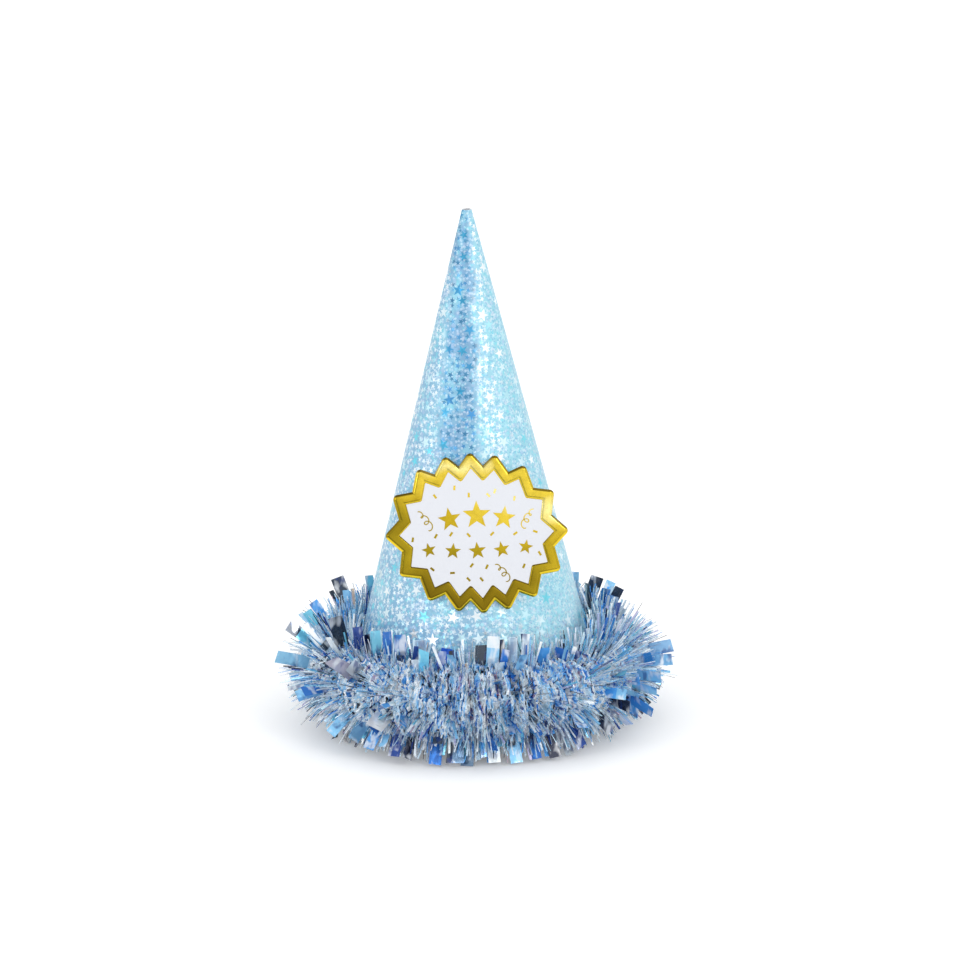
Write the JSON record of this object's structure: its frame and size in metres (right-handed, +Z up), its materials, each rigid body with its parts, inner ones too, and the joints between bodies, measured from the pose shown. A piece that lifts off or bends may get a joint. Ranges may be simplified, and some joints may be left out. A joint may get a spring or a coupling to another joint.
{
  "type": "party hat",
  "caption": "Cone party hat rolled from one star-patterned card, with a flat toothed badge on its front and a tinsel garland glued round its rim.",
  "frame": {"origin": "on the table, under the middle of the cone's rim, at the level the garland's lowest strips stand on", "axes": "+Z up the cone to its tip; the badge faces -Y; +X is to the right as the badge is seen"},
  "size_m": [0.1643, 0.1621, 0.2165],
  "materials": {
    "star_card": "gloss",
    "gold_card": "gloss",
    "white_card": "satin",
    "foam": "matte",
    "thread": "satin",
    "tinsel": "polished",
    "wide_foil": "polished",
    "glue": "satin"
  },
  "bodies": {
    "root": {"cone_card": "star_card", "badge_plate": "gold_card", "badge_panel": "white_card", "foam_pads": "foam", "core_thread": "thread", "tinsel_fringe": "tinsel", "wide_strips": "wide_foil", "glue_dots": "glue"}
  },
  "joints": []
}
